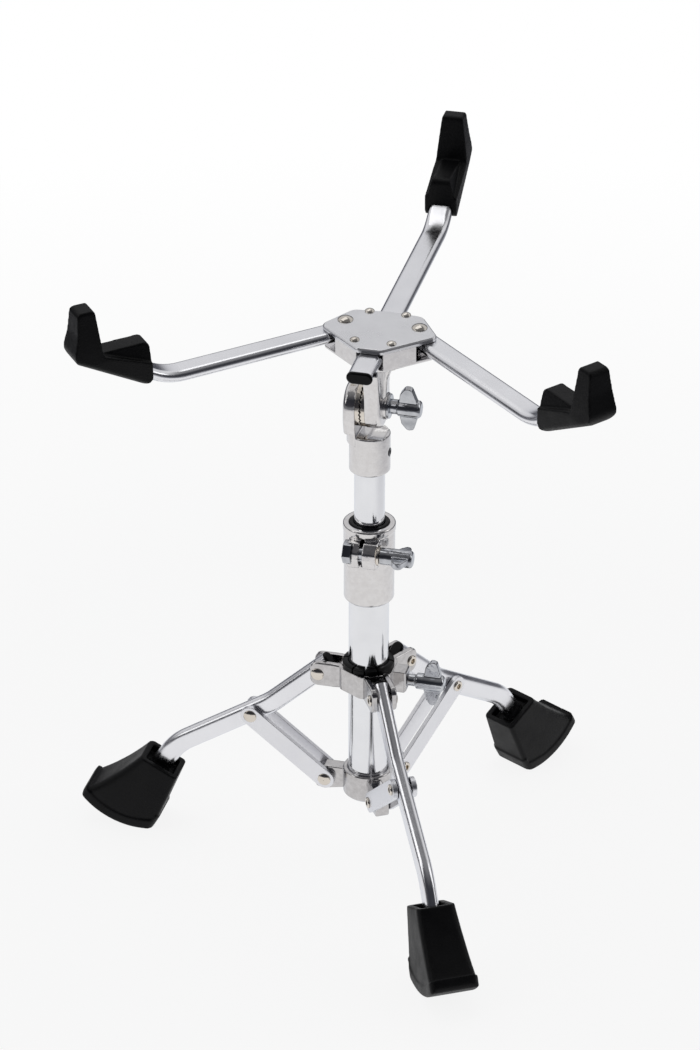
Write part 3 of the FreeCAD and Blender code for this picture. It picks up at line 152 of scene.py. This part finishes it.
def rubber(name, light, dark, rough, grain):
    """Moulded black rubber, nylon or plastic: fine pebbled skin, faint dust and rub marks."""
    mat, tree, shader, place = new_material(name)
    shader.inputs["Specular IOR Level"].default_value = 0.16
    slow = noise(tree, place, DUST_SCALE, 5.0, 0.6)
    pebble = node(tree, "ShaderNodeTexVoronoi", {"Vector": place}, Scale=grain[1]).outputs["Distance"]
    fine = noise(tree, place, grain[1] * 1.7, 4.0, 0.6)
    tone = ramp(tree, slow, [(0.3, dark), (0.72, light)])
    edge = node(tree, "ShaderNodeNewGeometry").outputs["Pointiness"]
    worn = spread(tree, edge, 0.0, WORN_SHARE, *WORN_POINTINESS)
    rubbed = (*(share * WORN_LIFT for share in light), 1.0)
    tree.links.new(mix_colour(tree, worn, tone, rubbed), shader.inputs["Base Color"])
    tree.links.new(spread(tree, slow, *rough), shader.inputs["Roughness"])
    bump(tree, shader, calc(tree, "ADD", pebble, fine), grain[0], SKIN_DEPTH)
    return mat


tube_chrome = metal("tube_chrome", (0.88, 0.885, 0.90), (0.81, 0.815, 0.83), rough=(0.09, 0.15),
                    wave=(0.012, 30.0), grain=(0.02, 260.0), lines=(1.0, 1.0, 0.06))
bent_chrome = metal("bent_chrome", (0.90, 0.90, 0.92), (0.83, 0.83, 0.85), rough=(0.17, 0.25),
                    wave=(0.02, 40.0), grain=(0.03, 420.0))
bar_chrome = metal("bar_chrome", (0.88, 0.88, 0.90), (0.80, 0.80, 0.825), rough=(0.28, 0.38),
                   wave=(0.03, 40.0), grain=(0.05, 420.0))
plate_chrome = metal("plate_chrome", (0.80, 0.80, 0.815), (0.73, 0.73, 0.745), rough=(0.25, 0.35),
                     wave=(0.03, 40.0), grain=(0.05, 420.0))
cast_chrome = metal("cast_chrome", (0.78, 0.765, 0.755), (0.69, 0.67, 0.66), rough=(0.08, 0.19),
                    wave=(0.09, 160.0), grain=(0.07, 900.0), tint_scale=300.0)
collar_chrome = metal("collar_chrome", (0.63, 0.615, 0.61), (0.50, 0.485, 0.48), rough=(0.07, 0.17),
                      wave=(0.11, 160.0), grain=(0.07, 900.0), tint_scale=300.0)
bolt_chrome = metal("bolt_chrome", (0.63, 0.64, 0.66), (0.40, 0.41, 0.43), rough=(0.04, 0.09),
                    wave=(0.16, 150.0), grain=(0.02, 700.0), tint_scale=120.0)
nickel = metal("nickel_rivet", (0.80, 0.75, 0.68), (0.68, 0.62, 0.54), rough=(0.05, 0.12),
               wave=(0.05, 200.0), grain=(0.04, 900.0))
# a darker copy of the nickel for the plate and arm pivot rivets: painted shade, standing in for the dark
# surroundings that their domes reflect
nickel_painted_shade = metal("basket_rivet", (0.74, 0.70, 0.64), (0.54, 0.50, 0.45), rough=(0.03, 0.07),
                    wave=(0.05, 200.0), grain=(0.03, 900.0))
dark_steel = metal("dark_screw", (0.10, 0.10, 0.11), (0.05, 0.05, 0.055), rough=(0.25, 0.4),
                   wave=(0.04, 200.0), grain=(0.05, 900.0))
grip_rubber = rubber("black_rubber", (0.0042, 0.0043, 0.0050), (0.0020, 0.0021, 0.0025),
                     rough=(0.38, 0.52), grain=(0.30, 1100.0))
nylon = rubber("black_nylon", (0.007, 0.007, 0.0075), (0.004, 0.004, 0.0045),
               rough=(0.28, 0.4), grain=(0.08, 1400.0))
plug_plastic = rubber("black_plastic", (0.005, 0.005, 0.0055), (0.003, 0.003, 0.0033),
                      rough=(0.26, 0.38), grain=(0.06, 1500.0))


# Pieces, by the start of their names

BENT_TUBES = ("leg_front", "leg_left", "leg_right", "arm_left", "arm_right", "arm_sliding")
RUBBER_PIECES = ("foot_front", "foot_left", "foot_right", "grip")
WING_BOLTS = ("collar_wing_bolt", "clamp_wing_bolt", "tilter_wing_bolt")

# names, size of the remeshed faces in m, passes of smoothing, share of the faces kept
MOULDED = (
    (RUBBER_PIECES, 0.0006, 7, 0.3),
    (WING_BOLTS, 0.00035, 9, 0.5),
    (("height_clamp", "tilter_lower"), 0.00045, 4, 0.35),
)
# names, material, width in m of the bevel on the pieces that are not moulded
MADE_OF = (
    (("base_tube", "upper_tube"), tube_chrome, 0.00025),
    (BENT_TUBES, bent_chrome, 0.00025),
    (("strut_front", "strut_left", "strut_right"), bar_chrome, 0.0003),
    (("basket_plate",), plate_chrome, 0.0003),
    (("height_clamp", "tilter_lower", "basket_pan"), cast_chrome, 0.0004),
    (("foot_collar", "leg_collar"), collar_chrome, 0.00036),
    ((*WING_BOLTS, "clamp_nut", "tilter_washer"), bolt_chrome, 0.0004),
    (("clamp_washer", "tilter_disc", "leg_pivot_rivets", "strut_low_rivet", "strut_top_rivet"),
     nickel, 0.0002),
    (("plate_rivets", "arm_pivot_rivets"), nickel_painted_shade, 0.0002),
    (("set_screw", "stop_pin"), dark_steel, 0.00015),
    (("collar_bush", "clamp_bush"), nylon, 0.0003),
    (("leg_plug", "tail_plug"), plug_plastic, 0.0003),
    (RUBBER_PIECES, grip_rubber, None),
)
SEAM = 0.000002                    # m, doubled vertices of the CAD mesh are joined within this
FLAT = math.radians(0.6)           # faces that turn less than this are one flat
SHARP = math.radians(38)           # edges that turn more than this are bevelled


def row_for(name, table):
    """What the table says of a piece after the names, or None."""
    return next((row[1:] for row in table if name.startswith(row[0])), None)


def moulded(piece, grain, softening, keep):
    """Rubber and small castings: every edge is rounded off as a mould would leave it."""
    cast = piece.modifiers.new("mould", "REMESH")
    cast.mode = "VOXEL"
    cast.voxel_size = grain
    cast.use_smooth_shade = True
    soft = piece.modifiers.new("soften", "SMOOTH")
    soft.factor = 0.5
    soft.iterations = softening
    specks = piece.modifiers.new("specks", "WELD")       # closes up what a sliver left behind
    specks.merge_threshold = grain / 3.0
    thin = piece.modifiers.new("thin", "DECIMATE")
    thin.ratio = keep


def machined(piece, width):
    """Metal and hard plastic: a narrow bevel catches the light along each edge."""
    plain = piece.modifiers.new("plain", "DECIMATE")     # flats become whole faces, so the bevel runs true
    plain.decimate_type = "DISSOLVE"
    plain.angle_limit = FLAT
    plain.delimit = {"NORMAL"}
    bevel = piece.modifiers.new("edges", "BEVEL")
    bevel.width = width
    bevel.segments = 2
    bevel.limit_method = "ANGLE"
    bevel.angle_limit = SHARP
    bevel.use_clamp_overlap = piece.name.startswith(BENT_TUBES)
    bevel.face_strength_mode = "FSTR_ALL"
    shade = piece.modifiers.new("shade", "WEIGHTED_NORMAL")
    shade.keep_sharp = True
    shade.use_face_influence = True


for name, piece in nodes.items():
    finish, edge = row_for(name, MADE_OF)
    piece.data.materials.clear()
    piece.data.materials.append(finish)
    weld = piece.modifiers.new("join", "WELD")
    weld.merge_threshold = SEAM
    mould = row_for(name, MOULDED)
    if mould:
        moulded(piece, *mould)
    else:
        machined(piece, edge)


# Studio: pale floor, even surround, soft lamps

FLOOR_REACH = 6.0                        # m from the middle to each side
FLOOR_COLOUR = (0.93, 0.93, 0.93, 1.0)
PLAIN_SHARE = 0.88                       # how much of the floor near the stand is plain white to the camera
PLAIN_FROM, PLAIN_TO = 0.4, 1.2          # m from the middle, between which that grows to all of it
PAPER_SHARE = 0.9
PAPER_MIDDLE = (-0.12, -0.24, 0.0)
PAPER_BEHIND = 0.4                       # what a metre behind the middle counts, so the paper runs on there
PAPER = [(0.46, (0.92, 0.92, 0.93)), (0.74, (0.66, 0.66, 0.69)), (0.89, (0.30, 0.30, 0.33)),
         (1.0, (0.16, 0.165, 0.18))]     # m from its middle, tone in reflections

# the surround in reflections, from straight down (0) to straight up (1)
BEHIND = [(0.0, (0.6, 0.6, 0.6)), (0.49, (0.06, 0.06, 0.07)), (0.57, (0.10, 0.10, 0.12)),
          (0.67, (0.78, 0.78, 0.80)), (0.86, (0.90, 0.90, 0.91)), (0.94, (0.25, 0.25, 0.26))]
BEFORE = [(0.0, (0.5, 0.5, 0.5)), (0.47, (0.05, 0.05, 0.06)), (0.78, (0.035, 0.037, 0.045)),
          (0.88, (0.14, 0.14, 0.15)), (0.95, (0.25, 0.25, 0.26))]
TURN_FROM, TURN_TO = -0.35, 0.3          # along Y, between which the one turns into the other
SURROUND_STRENGTH = 0.85

AIM = (0.0, 0.0, 0.2)
# name, place, width and height in m, power in W
LAMPS = (
    ("overhead", (-0.4, 0.7, 2.6), (2.0, 1.3), 8.5),
    ("side_left", (-2.2, -0.7, 1.5), (1.0, 1.8), 6.5),
    ("side_right", (2.4, -0.2, 1.2), (0.8, 1.6), 4.5),
)

CAMERA_PLACE = (0.0, -1.85545, 1.2400)
CAMERA_TURN, CAMERA_DIP, CAMERA_ROLL = 0.37, 28.35, 0.15    # degrees
FOCAL_LENGTH = 116.785                                      # mm
SENSOR_WIDTH = 36.0


def studio_floor():
    mesh = bpy.data.meshes.new("floor")
    corners = [(-1, -1), (1, -1), (1, 1), (-1, 1)]
    mesh.from_pydata([(x * FLOOR_REACH, y * FLOOR_REACH, 0.0) for x, y in corners], [], [(0, 1, 2, 3)])
    floor = bpy.data.objects.new("floor", mesh)
    scene.collection.objects.link(floor)
    mat, tree, shader, place = new_material("floor_white")
    shader.inputs["Base Color"].default_value = FLOOR_COLOUR
    shader.inputs["Roughness"].default_value = 0.9
    shader.inputs["Specular IOR Level"].default_value = 0.0
    straight, mirrored = ray_masks(tree)
    # the shadow is kept round the stand, and the floor turns plain white farther out
    plain = spread(tree, length(tree, place), PLAIN_SHARE, 1.0, PLAIN_FROM, PLAIN_TO)
    share = calc(tree, "ADD", calc(tree, "MULTIPLY", straight, plain),
                 calc(tree, "MULTIPLY", mirrored, PAPER_SHARE))
    # in reflections the white paper lies round the stand, ends in front and beside it and runs on behind it
    apart = node(tree, "ShaderNodeVectorMath", {0: place}, operation="SUBTRACT")
    apart.inputs[1].default_value = PAPER_MIDDLE
    across = node(tree, "ShaderNodeSeparateXYZ", {"Vector": apart.outputs["Vector"]})
    near = calc(tree, "MINIMUM", across.outputs["Y"], 0.0)
    rear = calc(tree, "MULTIPLY", calc(tree, "MAXIMUM", across.outputs["Y"], 0.0), PAPER_BEHIND)
    reach = node(tree, "ShaderNodeCombineXYZ",
                 {"X": across.outputs["X"], "Y": calc(tree, "ADD", near, rear)})
    paper = ramp(tree, length(tree, reach.outputs["Vector"]), PAPER)
    glow = node(tree, "ShaderNodeEmission", {"Color": mix_colour(tree, mirrored, WHITE, paper)}, Strength=1.0)
    surface = mix_shader(tree, share, shader.outputs["BSDF"], glow.outputs["Emission"])
    tree.links.new(surface, tree.nodes["Material Output"].inputs["Surface"])
    mesh.materials.append(mat)


def studio_world():
    world = bpy.data.worlds.new("studio")
    scene.world = world
    world.use_nodes = True
    tree = world.node_tree
    tree.nodes.clear()
    place = tree.nodes.new("ShaderNodeTexCoord").outputs["Generated"]
    split = node(tree, "ShaderNodeSeparateXYZ", {"Vector": place})
    height = spread(tree, split.outputs["Z"], 0.0, 1.0, -1.0, 1.0)
    turn = spread(tree, split.outputs["Y"], 0.0, 1.0, TURN_FROM, TURN_TO)
    tones = mix_colour(tree, turn, ramp(tree, height, BEFORE), ramp(tree, height, BEHIND))
    around = node(tree, "ShaderNodeBackground", {"Color": tones}, Strength=SURROUND_STRENGTH)
    white = node(tree, "ShaderNodeBackground", Color=WHITE, Strength=1.0)
    straight, _ = ray_masks(tree)
    surface = mix_shader(tree, straight, around.outputs["Background"], white.outputs["Background"])
    node(tree, "ShaderNodeOutputWorld", {"Surface": surface})


def lamp(name, place, size, power):
    data = bpy.data.lights.new(name, "AREA")
    data.shape = "RECTANGLE"
    data.size, data.size_y = size
    data.energy = power
    made = bpy.data.objects.new(name, data)
    scene.collection.objects.link(made)
    made.location = place
    made.rotation_euler = (Vector(place) - Vector(AIM)).to_track_quat("Z", "Y").to_euler()


def studio_camera():
    lens = bpy.data.cameras.new("camera")
    lens.lens = FOCAL_LENGTH
    lens.sensor_width = SENSOR_WIDTH
    lens.sensor_fit = "AUTO"
    lens.clip_end = 50.0
    camera = bpy.data.objects.new("camera", lens)
    scene.collection.objects.link(camera)
    camera.matrix_world = (Matrix.Translation(CAMERA_PLACE)
                           @ Matrix.Rotation(math.radians(CAMERA_TURN), 4, "Z")
                           @ Matrix.Rotation(math.radians(90.0 - CAMERA_DIP), 4, "X")
                           @ Matrix.Rotation(math.radians(CAMERA_ROLL), 4, "Z"))
    scene.camera = camera


studio_floor()
studio_world()
for row in LAMPS:
    lamp(*row)
studio_camera()
